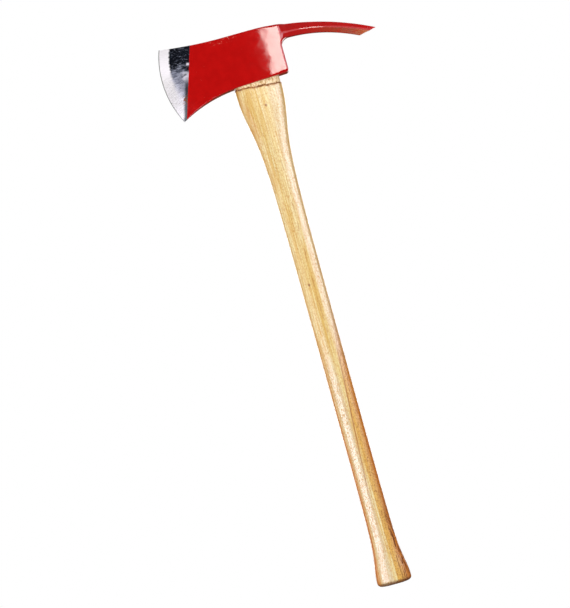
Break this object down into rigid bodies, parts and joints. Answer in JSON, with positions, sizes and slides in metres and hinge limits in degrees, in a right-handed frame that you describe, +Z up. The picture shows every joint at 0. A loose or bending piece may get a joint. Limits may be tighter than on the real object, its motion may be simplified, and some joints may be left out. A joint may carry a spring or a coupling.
{
  "type": "fire axe",
  "caption": "Pick-head fire axe: a forged steel head with a flared cutting blade and a curved pick, wedged on a long straight hardwood handle.",
  "frame": {"origin": "on the handle's axis at the head's underside, where a wall bracket carries the head", "axes": "+Z up along the handle to the head, -X towards the blade, +X towards the pick, Y through the head's thickness"},
  "size_m": [0.3537, 0.0356, 0.9235],
  "materials": {
    "painted_steel": "gloss red enamel, with the bit ground bare",
    "hickory": "clear gloss lacquer over pale hickory",
    "wedge_wood": "bare hardwood",
    "bare_steel": "dull, as rolled"
  },
  "bodies": {
    "root": {"axe_head": "painted_steel", "handle": "hickory", "wood_wedge": "wedge_wood", "steel_wedge_front": "bare_steel", "steel_wedge_rear": "bare_steel"}
  },
  "joints": []
}
